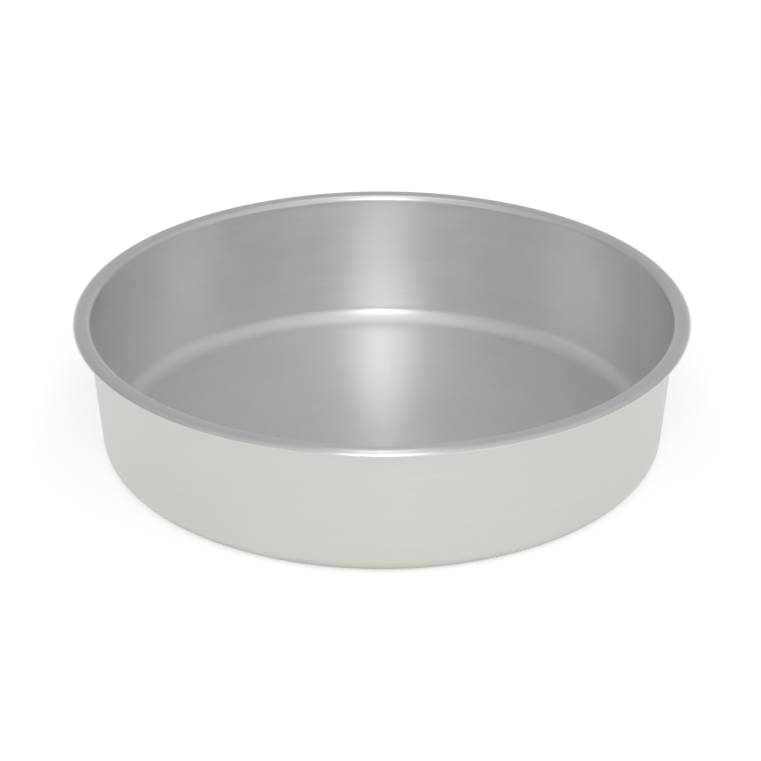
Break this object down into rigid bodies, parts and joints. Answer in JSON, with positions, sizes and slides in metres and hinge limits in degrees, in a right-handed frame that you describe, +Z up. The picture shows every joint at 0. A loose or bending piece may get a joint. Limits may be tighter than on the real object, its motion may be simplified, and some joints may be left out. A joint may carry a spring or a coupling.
{
  "type": "round cake tin",
  "caption": "Shallow round baking pan of seamless aluminium sheet, with a slightly flared wall, a rounded base corner and a lip rolled outwards.",
  "frame": {"origin": "middle of the base, on the surface that the tin stands on", "axes": "+Z up along the tin's round axis; X and Y are interchangeable"},
  "size_m": [0.216, 0.216, 0.0508],
  "materials": {
    "satin_aluminium": "natural satin finish with faint spinning rings"
  },
  "bodies": {
    "root": {"pan": "satin_aluminium"}
  },
  "joints": []
}
